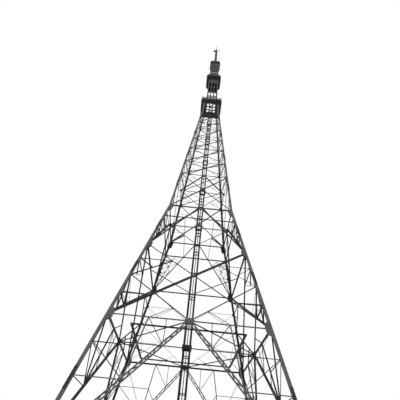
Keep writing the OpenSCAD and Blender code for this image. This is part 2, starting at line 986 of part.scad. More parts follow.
// Forked arm at the left side of the mast
module fork_arm() {
    color(steel)
        translate([-upper_half, 0, mast_row_z(drum_row)])
            rotate([90, 0, 180])
                linear_extrude(fork_t, center = true) {
                    bar([0, 0], [fork_reach / 2, 0], 2 * fork_w);
                    for (s = [-1, 1])
                        bar([fork_reach / 2 - fork_w, 0], [fork_reach, s * fork_reach / 2], fork_w);
                }
}

feet();
foot_ribs();
leg(-1, -1);  // leg_front_left
leg(1, -1);  // leg_front_right
leg(-1, 1);  // leg_rear_left
leg(1, 1);  // leg_rear_right
side(0) portal(front_level_w);  // portal_front
side(1) portal(portal_level_w);  // portal_right
side(2) portal(portal_level_w);  // portal_rear
side(3) portal(portal_level_w);  // portal_left
side(0) cross(1, 0, heavy_w, light_w, light_t);  // cross_front
side(1) cross(1, level_w, heavy_w, light_w, brace_t);  // cross_right
side(2) cross(1, level_w, strut_w, strut_w, light_t);  // cross_rear
side(3) cross(-1, level_w, heavy_w, light_w, brace_t);  // cross_left
side(0) chevron(0, front_level_w, front_level_w, front_chevron_w, false, light_t);  // chevron_front
side(1) chevron(level_w, level_w, level_w, laced_w, true, brace_t);  // chevron_right
side(2) chevron(level_w, level_w, level_w, rear_chevron_w, false, light_t);  // chevron_rear
side(3) chevron(level_w, level_w, level_w, laced_w, true, brace_t);  // chevron_left
side(0) upper(1);  // upper_front
side(1) upper(1);  // upper_right
side(2) upper(-1);  // upper_rear
side(3) upper(-1);  // upper_left
ring_portal();
ring_cross();
ring_mid();
ring_bend();
ring_first();
ring_upper();
shaft_base();
shaft_front_rear();
shaft_sides();
gallery1_frame();
gallery1_floor();
gallery1_rails();
gallery2_frame();
gallery2_floor();
gallery2_rails();
gallery3_frame();
gallery3_floor();
gallery3_rails();
mast_lower_front_rear();
mast_lower_sides();
mast_upper_front_rear();
mast_upper_sides();
pole();
lightning_rod();
pole_arm();
whip();
outriggers();
drum();
fork_arm();
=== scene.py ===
import bpy
import bmesh
import math
from mathutils import Matrix, Vector


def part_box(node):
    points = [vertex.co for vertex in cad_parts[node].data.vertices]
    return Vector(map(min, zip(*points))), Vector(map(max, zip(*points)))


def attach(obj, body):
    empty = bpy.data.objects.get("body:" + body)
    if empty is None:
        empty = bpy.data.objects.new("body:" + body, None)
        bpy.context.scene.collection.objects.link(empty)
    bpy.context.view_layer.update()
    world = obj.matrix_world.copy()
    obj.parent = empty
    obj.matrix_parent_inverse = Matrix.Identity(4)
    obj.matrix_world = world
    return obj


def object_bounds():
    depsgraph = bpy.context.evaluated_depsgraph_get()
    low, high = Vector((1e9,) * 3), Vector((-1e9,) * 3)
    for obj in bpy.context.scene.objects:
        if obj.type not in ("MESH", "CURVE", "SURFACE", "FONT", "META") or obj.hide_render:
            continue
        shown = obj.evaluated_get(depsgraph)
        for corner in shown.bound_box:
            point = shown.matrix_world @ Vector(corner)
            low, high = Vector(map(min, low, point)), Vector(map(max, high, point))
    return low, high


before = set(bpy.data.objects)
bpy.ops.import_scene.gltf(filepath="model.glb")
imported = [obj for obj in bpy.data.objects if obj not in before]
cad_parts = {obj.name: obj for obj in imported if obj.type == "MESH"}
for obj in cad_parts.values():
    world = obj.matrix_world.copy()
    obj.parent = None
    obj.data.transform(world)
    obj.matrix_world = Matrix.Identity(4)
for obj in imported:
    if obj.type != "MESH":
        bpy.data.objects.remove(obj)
cad_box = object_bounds()

# Camera: its distance in front of the axis, its height, how it is turned in degrees, and its lens in mm
DISTANCE, EYE = 6.4, 0.16
PITCH, LEAN = 45.12, 5.71
LENS, SENSOR, SHIFT = 25.2, 36.0, -0.004

# Tower: half of its side and the width of its legs at the ground, the bend and the top
BASE_HALF, BEND_HALF, TOP_HALF = 1.82, 0.84, 0.29
BASE_LEG, BEND_LEG, TOP_LEG = 0.048, 0.052, 0.038
BEND_Z, TOP_Z = 5.43, 12.88
PORTAL_Z, CROSS_Z, MID_Z = 2.13, 3.89, 4.96
# Shares of the height above the bend at its levels, and of a storey at the joint of its two crosses
LEVEL_SHARES, HALF_SHARE = (0.203, 0.42, 0.631, 0.815, 1.0), 0.47
# Distance between the two chevron bars where they meet the bend
CHEVRON_GAP = 0.1
# Depth of the bracing below and above the bend
BRACE_T, UPPER_T = 0.024, 0.014

# Thickness of a bolted plate, how far a cover sinks into what it is on, and the size of a bolt's head
PLATE_T, SINK = 0.005, 0.001
BOLT_R, BOLT_H = 0.0075, 0.006
# Width and height of the plates on the legs: at the levels below the bend, under the bend, at light struts,
# at the levels above the bend, and between two crosses
LEVEL_PLATE, BEND_PLATE, STRUT_PLATE = (0.19, 0.23), (0.19, 0.2), (0.1, 0.06)
UPPER_PLATE, HALF_PLATE = (0.15, 0.2), (0.11, 0.12)
# Width and height of the plates in the middle of a side: at the lowest level, at the bend and above it
PORTAL_APEX, BEND_APEX, UPPER_APEX = (0.16, 0.096), (0.16, 0.084), (0.09, 0.06)
# How far below the bend its plates are, on the legs and in the middle of a side
BEND_DROP, APEX_DROP = 0.12, 0.02
# Width of the plates at the crossings of the second storey, of the first storey above the bend, and higher up
CROSS_PLATE, FIRST_PLATE, HIGH_PLATE = 0.06, 0.05, 0.034

# Width of the shaft's corner bars, length of the galleries' cut corners, and half widths of the lattice mast
CHORD, CUT = 0.038, 0.09
LOWER_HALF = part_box("mast_lower_front_rear")[1][0]
UPPER_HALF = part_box("mast_upper_front_rear")[1][0]

LOW_K = (BASE_HALF - BEND_HALF) / BEND_Z
HIGH_K = (BEND_HALF - TOP_HALF) / (TOP_Z - BEND_Z)
SIDES = ("front", "right", "rear", "left")
# Direction of the heavy diagonals, as seen from outside each side: 1 rises to the right
LEANS = (1, 1, -1, -1)
CORNERS = {"front_left": (-1, -1), "front_right": (1, -1), "rear_left": (-1, 1), "rear_right": (1, 1)}
GALLERIES = ("gallery1", "gallery2", "gallery3")
ACROSS, DEEP, UP = (1, 0, 0), (0, 1, 0), (0, 0, 1)


def half(z):
    """Half of the tower's side at a height."""
    if z <= BEND_Z:
        return BASE_HALF - LOW_K * z
    return BEND_HALF - HIGH_K * (z - BEND_Z)


def leg_w(z):
    """Width of a leg at a height."""
    if z <= BEND_Z:
        return BASE_LEG + (BEND_LEG - BASE_LEG) * z / BEND_Z
    return BEND_LEG + (TOP_LEG - BEND_LEG) * (z - BEND_Z) / (TOP_Z - BEND_Z)


def leg_edge(z):
    """Distance from the middle of a side to the inner faces of its legs."""
    return half(z) - leg_w(z) / 2


def slope(z):
    """Inward slope of the sides at a height."""
    return LOW_K if z < BEND_Z else HIGH_K


def skin(z):
    """Distance of the bracing's outer and inner face from its middle."""
    return (BRACE_T if z < BEND_Z else UPPER_T) / 2


def thin(w, z):
    """Size of a thing above the bend, which shrinks with the tower."""
    return w * (0.5 + 0.5 * half(z) / BEND_HALF)


def second_storey(share):
    """Height at a share of the second storey."""
    return PORTAL_Z + (CROSS_Z - PORTAL_Z) * share


def upper_levels():
    """Heights of the levels above the bend."""
    return [BEND_Z + share * (TOP_Z - BEND_Z) for share in LEVEL_SHARES]


def upper_crosses():
    """Lower and upper height of each cross above the bend: one in the first storey, then two in each."""
    levels = upper_levels()
    spans = [(BEND_Z, levels[0])]
    for z0, z1 in zip(levels, levels[1:]):
        mid = z0 + (z1 - z0) * HALF_SHARE
        spans += [(z0, mid), (mid, z1)]
    return spans


def crossing(z0, z1):
    """Height where the two diagonals between z0 and z1 cross."""
    return z0 + (z1 - z0) * half(z0) / (half(z0) + half(z1))


def on_diagonal(z0, z1, z):
    """Distance from the middle of a side to its crossed bars at a height between z0 and z1."""
    mid = crossing(z0, z1)
    if z < mid:
        return half(z0) * (mid - z) / (mid - z0)
    return half(z1) * (z - mid) / (z1 - mid)


def between(a, b, share=0.5):
    """Point of a side on the line from a to b; both are (x, z)."""
    return a[0] + (b[0] - a[0]) * share, a[1] + (b[1] - a[1]) * share


def turned(side, p):
    """Point of the front side, turned to another side."""
    return Matrix.Rotation(math.radians(90 * side), 3, "Z") @ Vector(p)


def side_point(side, x, z, out=0.0):
    """Point on a sloping side, out metres outside the middle of its bracing."""
    k = slope(z)
    n = math.hypot(1, k)
    return turned(side, (x, -half(z) - out / n, z + out * k / n))


def side_normal(side, z):
    """Outward direction of a sloping side at a height."""
    return turned(side, (0, -1, slope(z))).normalized()


def on_leg(signs, face, u, z, out):
    """Point on one of a leg's two outer faces: u across it, at a height, out metres outside it."""
    sx, sy = signs
    h = half(z)
    o = h + leg_w(z) / 2 + out
    return (sx * (h + u), sy * o, z) if face == 0 else (sx * o, sy * (h + u), z)


def middle(node):
    """Middle of a node's box."""
    lo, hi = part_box(node)
    return (Vector(lo) + Vector(hi)) / 2


def angle_outline(w, t):
    """Cross-section of an angle bar, centred on its two legs' middles."""
    a = w / 2
    return [(-a, -a), (a, -a), (a, t - a), (t - a, t - a), (t - a, a), (-a, a)]


def flat_outline(a, b):
    """Cross-section of a flat bar, from half of its thickness and half of its width."""
    return [(-a, -b), (a, -b), (a, b), (-a, b)]


def round_outline(r, count):
    """Points on a circle."""
    turns = [2 * math.pi * k / count for k in range(count)]
    return [(r * math.cos(t), r * math.sin(t)) for t in turns]


def cut_outline(a, b):
    """Square of half width a, with straight edges of half length b and cut corners."""
    return [(-a, -b), (-b, -a), (b, -a), (a, -b), (a, b), (b, a), (-b, a), (-a, b)]


class Piece:
    """Corners and faces of one piece of the scene."""

    def __init__(self):
        self.verts = []
        self.faces = []

    def loft(self, rings):
        """Closed skin through rings of points that all have the same count."""
        first, n = len(self.verts), len(rings[0])
        last = first + (len(rings) - 1) * n
        self.verts += [tuple(p) for ring in rings for p in ring]
        self.faces.append(tuple(reversed(range(first, first + n))))
        for r in range(first, last, n):
            for i in range(n):
                j = (i + 1) % n
                self.faces.append((r + i, r + j, r + n + j, r + n + i))
        self.faces.append(tuple(range(last, last + n)))

    def bar(self, p, q, outline, up):
        """Bar of a given cross-section between two points; up gives the section's second axis."""
        p, q = Vector(p), Vector(q)
        d = (q - p).normalized()
        x = d.cross(Vector(up)).normalized()
        y = x.cross(d)
        self.loft([[c + x * a + y * b for a, b in outline] for c in (p, q)])

    def side_bar(self, side, a, b, outline):
        """Bar in the plane of a sloping side, between two points (x, z)."""
        self.bar(side_point(side, *a), side_point(side, *b), outline, side_normal(side, a[1]))

    def box(self, lo, hi):
        """Box between two corners."""
        lo, hi = Vector(lo), Vector(hi)
        ring = [(lo.x, lo.y), (hi.x, lo.y), (hi.x, hi.y), (lo.x, hi.y)]
        self.loft([[(x, y, z) for x, y in ring] for z in (lo.z, hi.z)])

    def turned_form(self, at, axis, profile, sides):
        """Round form: profile is a list of (radius, distance along the axis)."""
        at, axis = Vector(at), Vector(axis).normalized()
        x = axis.orthogonal().normalized()
        y = axis.cross(x)
        spokes = [x * a + y * b for a, b in round_outline(1, sides)]
        self.loft([[at + axis * h + spoke * r for spoke in spokes] for r, h in profile])

    def bolt(self, at, axis, r=BOLT_R, h=BOLT_H):
        """Hexagonal head with a bevelled top on a washer."""
        washer, head = 1.5 * r, 1.1 * r
        profile = [(washer, 0), (washer, 0.25 * h), (head, 0.26 * h), (head, 0.85 * h), (0.85 * r, h)]
        self.turned_form(at, axis, profile, 6)

    def side_plates(self, side, z, corners, bolts, bolt_r, normal):
        """Bolted plates on both faces of a side's bracing; corners and bolts are lists of (x, z)."""
        for face in (1, -1):
            under, top = face * skin(z), face * (skin(z) + PLATE_T)
            self.loft([[side_point(side, *c, out) for c in corners] for out in (under, top)])
            for b in bolts:
                self.bolt(side_point(side, *b, top), normal * face, bolt_r)

    def make(self, name, material, slot):
        """Object with this piece's mesh, which rides on the tower."""
        mesh = bpy.data.meshes.new(name)
        mesh.from_pydata(self.verts, [], self.faces)
        bm = bmesh.new()
        bm.from_mesh(mesh)
        bmesh.ops.recalc_face_normals(bm, faces=bm.faces)
        bm.to_mesh(mesh)
        bm.free()
        mesh.materials.append(MATS[material])
        obj = bpy.data.objects.new(name, mesh)
        bpy.context.scene.collection.objects.link(obj)
        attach(obj, "root")


def set_camera():
    """Camera at the photograph's place, looking up the front side with a slight lean."""
    cam = bpy.data.cameras.new("camera")
    cam.sensor_fit = "HORIZONTAL"
    cam.sensor_width = SENSOR
    cam.lens = LENS
    cam.shift_x = SHIFT
    cam.clip_end = 500
    obj = bpy.data.objects.new("camera", cam)
    bpy.context.scene.collection.objects.link(obj)
    p, r = math.radians(PITCH), math.radians(LEAN)
    forward = Vector((0, math.cos(p), math.sin(p)))
    right = Vector((1, 0, 0))
    up = Vector((0, -math.sin(p), math.cos(p)))
    up2 = up * math.cos(r) - right * math.sin(r)
    right2 = right * math.cos(r) + up * math.sin(r)
    m = Matrix((right2, up2, -forward)).transposed().to_4x4()
    m.translation = Vector((0, -DISTANCE, EYE))
    obj.matrix_world = m
    bpy.context.scene.camera = obj


RUST = (0.045, 0.032, 0.025)


def node_tree(name):
    """New material with one shader."""
    mat = bpy.data.materials.new(name)
    mat.use_nodes = True
    nt = mat.node_tree
    nt.nodes.clear()
    out = nt.nodes.new("ShaderNodeOutputMaterial")
    bsdf = nt.nodes.new("ShaderNodeBsdfPrincipled")
    nt.links.new(bsdf.outputs[0], out.inputs[0])
    return mat, nt, bsdf


def painted_steel(name, dark, light, stain=RUST, rough=0.6, metallic=0.0, grain=30.0, streak=6.0):
    """Weathered paint: cloudy colour, stains that run down, and a fine uneven surface."""
    mat, nt, bsdf = node_tree(name)
    add, link = nt.nodes.new, nt.links.new
    coord = add("ShaderNodeTexCoord")
    cloud = add("ShaderNodeTexNoise")
    cloud.inputs["Scale"].default_value = streak
    cloud.inputs["Detail"].default_value = 6
    link(coord.outputs["Object"], cloud.inputs["Vector"])
    ramp = add("ShaderNodeValToRGB")
    ramp.color_ramp.elements[0].position = 0.32
    ramp.color_ramp.elements[0].color = (*dark, 1)
    ramp.color_ramp.elements[1].position = 0.7
    ramp.color_ramp.elements[1].color = (*light, 1)
    link(cloud.outputs["Fac"], ramp.inputs["Fac"])
    stretch = add("ShaderNodeMapping")
    stretch.inputs["Scale"].default_value = (18, 18, 1.6)
    link(coord.outputs["Object"], stretch.inputs["Vector"])
    runs = add("ShaderNodeTexNoise")
    runs.inputs["Scale"].default_value = 1.0
    runs.inputs["Detail"].default_value = 5
    link(stretch.outputs["Vector"], runs.inputs["Vector"])
    mask = add("ShaderNodeValToRGB")
    mask.color_ramp.elements[0].position = 0.58
    mask.color_ramp.elements[0].color = (0, 0, 0, 1)
    mask.color_ramp.elements[1].position = 0.78
    mask.color_ramp.elements[1].color = (0.75, 0.75, 0.75, 1)
    link(runs.outputs["Fac"], mask.inputs["Fac"])
    mix = add("ShaderNodeMix")
    mix.data_type = "RGBA"
    link(mask.outputs["Color"], mix.inputs["Factor"])
    link(ramp.outputs["Color"], mix.inputs["A"])
    mix.inputs["B"].default_value = (*stain, 1)
    link(mix.outputs["Result"], bsdf.inputs["Base Color"])
    fine = add("ShaderNodeTexNoise")
    fine.inputs["Scale"].default_value = grain
    fine.inputs["Detail"].default_value = 4
    link(coord.outputs["Object"], fine.inputs["Vector"])
    rr = add("ShaderNodeMapRange")
    rr.inputs["To Min"].default_value = rough - 0.12
    rr.inputs["To Max"].default_value = rough + 0.15
    link(fine.outputs["Fac"], rr.inputs["Value"])
    link(rr.outputs["Result"], bsdf.inputs["Roughness"])
    bump = add("ShaderNodeBump")
    bump.inputs["Strength"].default_value = 0.18
    bump.inputs["Distance"].default_value = 0.002
    link(fine.outputs["Fac"], bump.inputs["Height"])
    link(bump.outputs["Normal"], bsdf.inputs["Normal"])
    bsdf.inputs["Metallic"].default_value = metallic
    bsdf.inputs["Specular IOR Level"].default_value = 0.1
    return mat


MATS = {
    # Lit and shaded copies of one grey paint: the front legs' paint is made lighter as painted light, and the
    # rear legs' paint is made darker as painted shade
    "leg_front": painted_steel("front_leg_paint_with_painted_light", (0.1, 0.106, 0.112), (0.16, 0.167, 0.174)),
    "leg_rear": painted_steel("rear_leg_paint_with_painted_shade", (0.024, 0.026, 0.028), (0.042, 0.045, 0.048)),
    # Bracing paint: a dark grey, made darker still as painted shade on bars seen from below
    "bracing": painted_steel("bracing_paint_and_painted_shade", (0.022, 0.024, 0.026), (0.04, 0.043, 0.046), streak=9),
    "upper": painted_steel("upper_paint", (0.045, 0.048, 0.051), (0.075, 0.079, 0.084), streak=9),
    "ring": painted_steel("ring_paint", (0.022, 0.024, 0.026), (0.04, 0.043, 0.046), streak=8),
    "shaft": painted_steel("shaft_paint", (0.02, 0.022, 0.024), (0.036, 0.038, 0.041), streak=10),
    "floor": painted_steel("floor_paint", (0.045, 0.048, 0.051), (0.075, 0.079, 0.084), rough=0.72),
    "rail": painted_steel("rail_paint", (0.034, 0.036, 0.038), (0.06, 0.062, 0.066)),
    "mast": painted_steel("mast_paint", (0.026, 0.028, 0.03), (0.046, 0.049, 0.052)),
    "foot": painted_steel("foot_paint", (0.05, 0.05, 0.048), (0.09, 0.088, 0.082), (0.11, 0.085, 0.06),
                          rough=0.75),
    "pole": painted_steel("pole_paint", (0.014, 0.015, 0.017), (0.026, 0.028, 0.03)),
    "plate": painted_steel("plate_paint", (0.03, 0.032, 0.035), (0.054, 0.057, 0.06), streak=12, grain=60),
    "cable": painted_steel("cable_sheath", (0.02, 0.02, 0.021), (0.034, 0.034, 0.036), (0.05, 0.048, 0.045),
                           rough=0.7, grain=90, streak=14),
    "zinc": painted_steel("zinc_steel", (0.3, 0.31, 0.32), (0.44, 0.45, 0.46), (0.24, 0.23, 0.22),
                          rough=0.5, metallic=0.6),
    "dull": painted_steel("dull_steel", (0.05, 0.052, 0.055), (0.09, 0.093, 0.097), metallic=0.3),
    "pale": painted_steel("pale_plastic", (0.46, 0.47, 0.48), (0.6, 0.61, 0.62), (0.36, 0.35, 0.33),
                          rough=0.55),
}


def mat_for(node):
    """Material of a node of the solid model."""
    # The front legs, the bend's ring and the front portal take the lighter front paint, which is painted
    # light; the rear legs take the darker rear paint, which is painted shade
    if node in ("ring_bend", "portal_front"):
        return MATS["leg_front"]
    for key in ("leg_front", "leg_rear", "upper", "ring", "shaft", "mast"):
        if node.startswith(key + "_"):
            return MATS[key]
    # Portal, cross and chevron bars take the bracing paint, a dark grey darkened partly as painted shade
    if node.startswith(("portal_", "cross_", "chevron_")):
        return MATS["bracing"]
    if node.endswith(("_floor", "_frame")):
        return MATS["floor"]
    if node.endswith("_rails"):
        return MATS["rail"]
    if node in ("feet", "foot_ribs"):
        return MATS["foot"]
    if node in ("pole", "pole_arm"):
        return MATS["pole"]
    if node == "drum":
        return MATS["pale"]
    return MATS["dull"]


def dress_nodes():
    """Materials on all nodes of the solid model."""
    for name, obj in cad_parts.items():
        obj.data.materials.clear()
        obj.data.materials.append(mat_for(name))


def leg_plate(piece, side, s, z, w, h):
    """Bolted plates where bars meet the left or right leg of a side; w and h are the whole plate's size."""
    edge, deep, k = leg_edge(z), w / 2 - leg_w(z) / 2, slope(z)

    def place(u, v):
        """Point u metres from the leg's inner face and v metres above the joint."""
        return s * (edge - k * v + u), z + v

    outline = [(0, -h / 2), (-deep / 2, -h / 2), (-deep, -h / 5),
               (-deep, h / 5), (-deep / 2, h / 2), (0, h / 2)]
    spots = [(-0.28, v) for v in (-0.3, -0.1, 0.1, 0.3)] + [(-0.72, v) for v in (-0.1, 0.1)]
    corners = [place(u, v) for u, v in outline]
    bolts = [place(u * deep, v * h) for u, v in spots]
    piece.side_plates(side, z, corners, bolts, BOLT_R * h / LEVEL_PLATE[1], side_normal(side, z))


def apex_plate(piece, side, z, w, h, below=0.0):
    """Bolted plates where chevrons meet in the middle of a level."""
    zc, a, b, clear = z - below, w / 2, w / 4, 0.003
    top = min(h / 2, BEND_Z - clear - zc) if z <= BEND_Z else h / 2
    outline = [(-a, -h / 4), (-b, -h / 2), (b, -h / 2), (a, -h / 4), (a, top), (-a, top)]
    corners = [(x, zc + v) for x, v in outline]
    bolts = [(u * w, zc + v * h) for u in (-0.38, -0.2, 0.2, 0.38) for v in (-0.1, 0.1)]
    piece.side_plates(side, zc, corners, bolts, BOLT_R, side_normal(side, z))


def crossing_plate(piece, side, z0, z1, w):
    """Bolted plates where the two diagonals of a storey cross."""
    z, b = crossing(z0, z1), w / 4
    corners = [(x, z + v) for x, v in cut_outline(w / 2, b)]
    bolts = [(-b, z), (b, z), (0, z - b), (0, z + b)]
    piece.side_plates(side, z, corners, bolts, 0.07 * w, side_normal(side, z))


def joint_plates():
    """One piece for each side: all plates and bolts at its joints."""
    levels, crosses = upper_levels()[:-1], upper_crosses()
    strut_levels = [second_storey(t) for t in (0.25, 0.5, 0.75)] + [(CROSS_Z + MID_Z) / 2, MID_Z]
    joints = [(PORTAL_Z, *LEVEL_PLATE), (CROSS_Z, *LEVEL_PLATE), (BEND_Z - BEND_DROP, *BEND_PLATE)]
    joints += [(z, *STRUT_PLATE) for z in strut_levels]
    joints += [(z, *(thin(v, z) for v in UPPER_PLATE)) for z in levels]
    joints += [(z, *(thin(v, z) for v in HALF_PLATE)) for _, z in crosses[1::2]]
    for side, name in enumerate(SIDES):
        piece = Piece()
        for s in (-1, 1):
            for z, w, h in joints:
                leg_plate(piece, side, s, z, w, h)
        apex_plate(piece, side, PORTAL_Z, *PORTAL_APEX)
        apex_plate(piece, side, BEND_Z, *BEND_APEX, below=APEX_DROP)
        crossing_plate(piece, side, PORTAL_Z, CROSS_Z, CROSS_PLATE)
        for z in levels:
            apex_plate(piece, side, z, *(thin(v, z) for v in UPPER_APEX))
        for i, (z0, z1) in enumerate(crosses):
            crossing_plate(piece, side, z0, z1, FIRST_PLATE if i == 0 else thin(HIGH_PLATE, z1))
        # The front side's plates take the front legs' lighter paint as painted light; the other sides' plates
        # keep the dark plate paint
        paint = "leg_front" if name == "front" else "plate"
        piece.make("joint_plates_" + name, paint, "bracing_steel")


def leg_splices():
    """Cover plates with bolts over the joints of the leg sections, on the two outer faces of each leg."""
    heights = (1.1, 3.2, 4.6, 6.45, 8.1, 9.75, 11.15, 11.85)
    for corner, signs in CORNERS.items():
        axes = ((0, signs[1], LOW_K), (signs[0], 0, LOW_K))
        piece = Piece()
        for z in heights:
            a, b = 0.4 * leg_w(z), 0.15 * leg_w(z) / BASE_LEG
            c, d = 0.8 * a, 0.9 * b
            ring = [(-a, -d), (-c, -b), (c, -b), (a, -d), (a, d), (c, b), (-c, b), (-a, d)]
            for face, axis in enumerate(axes):
                cover = [[on_leg(signs, face, u, z + v, out) for u, v in ring] for out in (-SINK, PLATE_T)]
                piece.loft(cover)
                for u in (-0.55, 0.55):
                    for v in (-0.8, -0.5, -0.2, 0.2, 0.5, 0.8):
                        piece.bolt(on_leg(signs, face, u * a, z + v * b, PLATE_T), axis, 0.2 * a)
        piece.make("leg_splices_" + corner, "plate", "leg_steel")


def leg_strips():
    """Cover strips, a little wider than the leg, on the two outer faces of the rear legs above the bend."""
    over, thick = 0.007, 0.003
    for corner in ("rear_left", "rear_right"):
        piece = Piece()
        for face in (0, 1):
            rings = []
            for z in (BEND_Z + 0.06, TOP_Z - 0.12):
                a = leg_w(z) / 2 + over
                section = ((-a, -SINK), (a, -SINK), (a, thick), (-a, thick))
                rings.append([on_leg(CORNERS[corner], face, u, z, out) for u, out in section])
            piece.loft(rings)
        # The strips take the rear legs' darker paint, which is painted shade
        piece.make("leg_strips_" + corner, "leg_rear", "leg_steel")


def anchor_bolts():
    """Studs, washers and nuts in the anchor holes of the feet."""
    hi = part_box("feet")[1]
    pitch, foot_side = 0.23, 0.32
    mid = hi[0] - foot_side / 2
    washer = [(0.026, 0), (0.026, 0.004), (0.025, 0.005)]
    nut = [(0.021, 0.005), (0.021, 0.021), (0.018, 0.024)]
    stud = [(0.0115, 0.02), (0.0115, 0.043), (0.009, 0.047)]
    piece = Piece()
    for sx, sy in CORNERS.values():
        for ax, ay in CORNERS.values():
            at = (sx * mid + ax * pitch / 2, sy * mid + ay * pitch / 2, hi[2])
            for profile, sides in ((washer, 20), (nut, 6), (stud, 12)):
                piece.turned_form(at, UP, profile, sides)
    piece.make("anchor_bolts", "zinc", "fitting_steel")


def fine_bracing():
    """Light angle bars from the legs to the crossed bars above the bend, and flanges on heavy diagonals."""
    strut, flange, flange_t = 0.009, 0.018, 0.002
    first_strut = {"front": 0.006, "right": 0.013, "rear": 0.006, "left": 0.013}
    for side, (name, lean) in enumerate(zip(SIDES, LEANS)):
        piece = Piece()
        for i, (z0, z1) in enumerate(upper_crosses()):
            w = first_strut[name] if i == 0 else thin(strut, z1)
            section = angle_outline(w, w / 3)
            low, mid, high = (z0 + (z1 - z0) * t for t in (0.25, 0.5, 0.75))
            for s in (-1, 1):
                for leg_z, z in ((low, low), (high, high), (mid, low)):
                    on_bar = (s * on_diagonal(z0, z1, z), z)
                    piece.side_bar(side, (s * leg_edge(leg_z), leg_z), on_bar, section)
            if i > 0:
                foot, head = (-lean * leg_edge(z0), z0), (lean * leg_edge(z1), z1)
                piece.side_bar(side, foot, head, flat_outline(flange_t, thin(flange, z1)))
        piece.make("fine_bracing_" + name, "upper", "bracing_steel")


def portal_struts():
    """Light angle bars between the level, the chevrons and the legs of the lowest storey."""
    foot_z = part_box("portal_front")[0][2]
    section = angle_outline(0.012, 0.004)

    def on_chevron(x):
        """Point of a chevron at a distance from the middle of the side."""
        return x, PORTAL_Z + (foot_z - PORTAL_Z) * x / half(foot_z)

    centre = on_chevron(half(foot_z) / 2)
    inner, outer = (0.4, PORTAL_Z), (half(PORTAL_Z) / 2, PORTAL_Z)
    corner, brace = between((half(PORTAL_Z), PORTAL_Z), centre), between(outer, centre)
    leg = (leg_edge(corner[1]), corner[1])
    bars = [(inner, on_chevron(inner[0])), (on_chevron(inner[0]), outer), (leg, corner), (leg, centre),
            (brace, corner), (brace, on_chevron(0.65))]
    for side, name in enumerate(SIDES):
        piece = Piece()
        for s in (-1, 1):
            for (ax, az), (bx, bz) in bars:
                piece.side_bar(side, (s * ax, az), (s * bx, bz), section)
        piece.make("portal_struts_" + name, "bracing", "bracing_steel")


def front_struts():
    """Angle bars from the left leg to the lighter diagonal of the front side in the second storey."""
    strut, light = angle_outline(0.017, 0.005), angle_outline(0.012, 0.004)
    quarter = between((-half(CROSS_Z), CROSS_Z), (half(PORTAL_Z), PORTAL_Z), 0.25)
    low, high = ((-leg_edge(z), z) for z in (second_storey(0.5), second_storey(0.75)))
    piece = Piece()
    piece.side_bar(0, low, quarter, strut)
    piece.side_bar(0, high, between(low, quarter), strut)
    piece.side_bar(0, high, quarter, light)
    piece.make("cross_struts_front", "bracing", "bracing_steel")


def cross_struts():
    """Second storey, left and right: angle bars from the front legs, and flanges on the lighter bars."""
    strut, flange_t, drop = angle_outline(0.02, 0.005), 0.002, 0.12
    for side, s in ((1, -1), (3, 1)):
        quarter = between((s * half(PORTAL_Z), PORTAL_Z), (-s * half(CROSS_Z), CROSS_Z), 0.25)
        low, high = ((s * leg_edge(z), z) for z in (second_storey(0.27), second_storey(0.52)))
        rear = (-s * leg_edge(CROSS_Z - drop), CROSS_Z - drop)
        piece = Piece()
        for a, b in ((low, quarter), (high, quarter), (low, rear)):
            piece.side_bar(side, a, b, strut)
        for z, deep in ((CROSS_Z, 0.022), (PORTAL_Z, 0.016)):
            head = (s * leg_edge(CROSS_Z), CROSS_Z)
            piece.side_bar(side, head, (-s * leg_edge(z), z), flat_outline(flange_t, deep))
        piece.make("cross_struts_" + SIDES[side], "bracing", "bracing_steel")


def chevron_struts():
    """Light zigzag bars between the legs and the chevrons below the bend, on all sides but the front."""
    low, rear_top, side_top = CROSS_Z + 0.1, MID_Z - 0.04, BEND_Z - 0.15
    strut, light = angle_outline(0.014, 0.004), angle_outline(0.01, 0.003)

    def chevron_x(z):
        """Distance from the middle of a side to its chevrons."""
        return CHEVRON_GAP / 2 + (half(CROSS_Z) - CHEVRON_GAP / 2) * (BEND_Z - z) / (BEND_Z - CROSS_Z)

    def middle_x(z):
        """Distance from the middle of a side to the line between a leg and a chevron."""
        return (leg_edge(z) + chevron_x(z)) / 2

    # Each row: the two lines that its bars join, the number of bars, and their cross-section
    rear_rows = [(leg_edge, middle_x, 10, light), (middle_x, chevron_x, 6, light),
                 (middle_x, middle_x, 1, strut)]
    side_rows = [(leg_edge, chevron_x, 11, strut)]
    for side, name in enumerate(SIDES[1:], 1):
        rows, top = (rear_rows, rear_top) if name == "rear" else (side_rows, side_top)
        piece = Piece()
        for s in (-1, 1):
            for start, end, count, section in rows:
                heights = [low + (top - low) * i / count for i in range(count + 1)]
                points = [(s * (end if i % 2 else start)(z), z) for i, z in enumerate(heights)]
                for a, b in zip(points, points[1:]):
                    piece.side_bar(side, a, b, section)
        piece.make("chevron_struts_" + name, "bracing", "bracing_steel")


def ladder():
    """Ladder up the inside of the shaft's right side, on brackets from its corner bars."""
    lo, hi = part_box("shaft_front_rear")
    reach, step, bracket_steps = 0.02, 0.03, 20
    x = hi[0] - CHORD - 0.004
    flat, rung = flat_outline(0.0016, 0.004), round_outline(0.0018, 6)
    piece = Piece()
    for s in (-1, 1):
        piece.bar((x, s * reach, lo[2]), (x, s * reach, hi[2]), flat, DEEP)
    for i in range(1, int((hi[2] - lo[2]) / step)):
        z = lo[2] + i * step
        piece.bar((x, -reach, z), (x, reach, z), rung, UP)
        if i % bracket_steps == bracket_steps // 2:
            for s in (-1, 1):
                piece.bar((x, s * reach, z), (x, s * (hi[1] - CHORD), z), flat, UP)
    piece.make("shaft_ladder", "rail", "shaft_steel")


